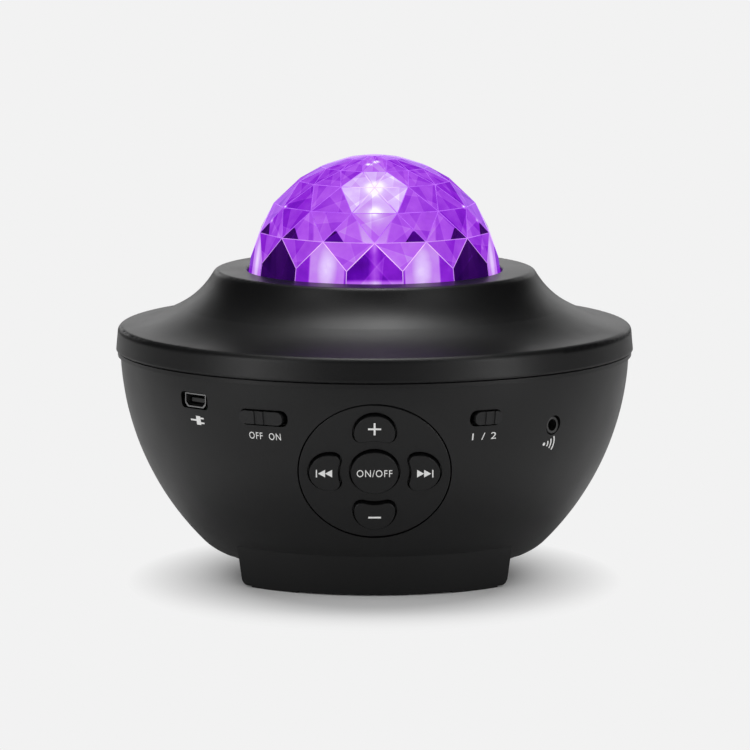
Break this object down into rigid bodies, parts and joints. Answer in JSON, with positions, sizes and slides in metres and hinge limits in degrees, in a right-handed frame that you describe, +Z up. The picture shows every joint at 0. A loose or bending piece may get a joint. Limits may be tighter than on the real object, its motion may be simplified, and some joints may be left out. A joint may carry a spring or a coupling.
{
  "type": "galaxy night light",
  "caption": "Galaxy night light: matt bowl with foot, button panel, slide switches and ports, flared cover, and a faceted clear dome over a turning wave disc.",
  "frame": {"origin": "on the axis, at the underside of the rubber strips of the foot", "axes": "+Z up along the axis, -Y out through the middle of the control panel"},
  "size_m": [0.1599, 0.16, 0.1283],
  "materials": {
    "black_shell": "fine matt texture",
    "black_panel": "fine matt texture",
    "black_button": "fine matt texture",
    "black_slider": "matt",
    "clear_dome": "clear faceted, lit violet",
    "clear_disc": "clear, ribbed",
    "rubber": "matt",
    "dark_grille": "matt",
    "steel": "plated",
    "magnet": "dark grey",
    "paper_cone": "black pressed paper",
    "board": "green solder mask",
    "lamp_board": "white coated",
    "lamp": "lit",
    "black_part": "moulded",
    "white_plastic": "moulded",
    "brass": "turned",
    "lead_insulation": "soft insulation"
  },
  "bodies": {
    "body": {"audio_jack": "black_part", "board_capacitors": "black_part", "board_chips": "black_part", "board_screws": "steel", "bowl_housing": "black_shell", "chassis_screws": "steel", "control_panel": "black_panel", "crystal_dome": "clear_dome", "dome_gasket": "rubber", "gear_motor": "steel", "housing_screws": "steel", "jack_collar": "steel", "key_board": "board", "key_board_screws": "steel", "key_ribbon": "lead_insulation", "lamp_board": "lamp_board", "lamp_leads": "lead_insulation", "lamps": "lamp", "laser_grating": "clear_disc", "laser_module": "brass", "light_chassis": "white_plastic", "main_board": "board", "mode_switch_body": "black_part", "motor_leads": "lead_insulation", "motor_plate": "steel", "motor_plate_screws": "steel", "power_switch_body": "black_part", "rubber_feet": "rubber", "speaker_cone": "paper_cone", "speaker_frame": "steel", "speaker_grille": "dark_grille", "speaker_leads": "lead_insulation", "speaker_magnet": "magnet", "speaker_screws": "steel", "spindle_bush": "brass", "tact_switches": "black_part", "top_cover": "black_shell", "usb_socket": "steel", "usb_tongue": "black_part"},
    "wave_turntable": {"wave_disc": "clear_disc", "disc_spindle": "steel", "disc_gear": "white_plastic", "disc_clip": "white_plastic"},
    "motor_rotor": {"drive_pinion": "white_plastic", "motor_shaft": "steel"},
    "power_slider": {"power_switch_knob": "black_slider"},
    "mode_slider": {"mode_switch_knob": "black_slider"},
    "center_button": {"button_center": "black_button", "plunger_center": "black_part"},
    "plus_button": {"button_plus": "black_button", "plunger_plus": "black_part"},
    "minus_button": {"button_minus": "black_button", "plunger_minus": "black_part"},
    "previous_button": {"button_previous": "black_button", "plunger_previous": "black_part"},
    "next_button": {"button_next": "black_button", "plunger_next": "black_part"}
  },
  "joints": [
    {"name": "wave_disc_spin", "type": "hinge", "parent": "body", "child": "wave_turntable", "pos_m": [0, 0, 0.08], "axis": [0, 0, 1], "continuous": true},
    {"name": "motor_spin", "type": "hinge", "parent": "body", "child": "motor_rotor", "pos_m": [0, 0.0225, 0.07], "axis": [0, 0, 1], "continuous": true},
    {"name": "power_slide", "type": "slide", "parent": "body", "child": "power_slider", "axis": [0.9041, -0.4274, 0], "range_m": [0, 0.0013]},
    {"name": "mode_slide", "type": "slide", "parent": "body", "child": "mode_slider", "axis": [-0.9041, -0.4274, 0], "range_m": [0, 0.0013]},
    {"name": "center_press", "type": "slide", "parent": "body", "child": "center_button", "axis": [0, 0.9333, 0.3592], "range_m": [0, 0.0006], "stiffness_N_per_m": 1500, "springref_m": -0.0005},
    {"name": "plus_press", "type": "slide", "parent": "body", "child": "plus_button", "axis": [0, 0.9333, 0.3592], "range_m": [0, 0.0006], "stiffness_N_per_m": 1500, "springref_m": -0.0005},
    {"name": "minus_press", "type": "slide", "parent": "body", "child": "minus_button", "axis": [0, 0.9333, 0.3592], "range_m": [0, 0.0006], "stiffness_N_per_m": 1500, "springref_m": -0.0005},
    {"name": "previous_press", "type": "slide", "parent": "body", "child": "previous_button", "axis": [0, 0.9333, 0.3592], "range_m": [0, 0.0006], "stiffness_N_per_m": 1500, "springref_m": -0.0005},
    {"name": "next_press", "type": "slide", "parent": "body", "child": "next_button", "axis": [0, 0.9333, 0.3592], "range_m": [0, 0.0006], "stiffness_N_per_m": 1500, "springref_m": -0.0005}
  ],
  "couplings": [
    {"joint": "motor_spin", "follows": "wave_disc_spin", "ratio": -4}
  ]
}
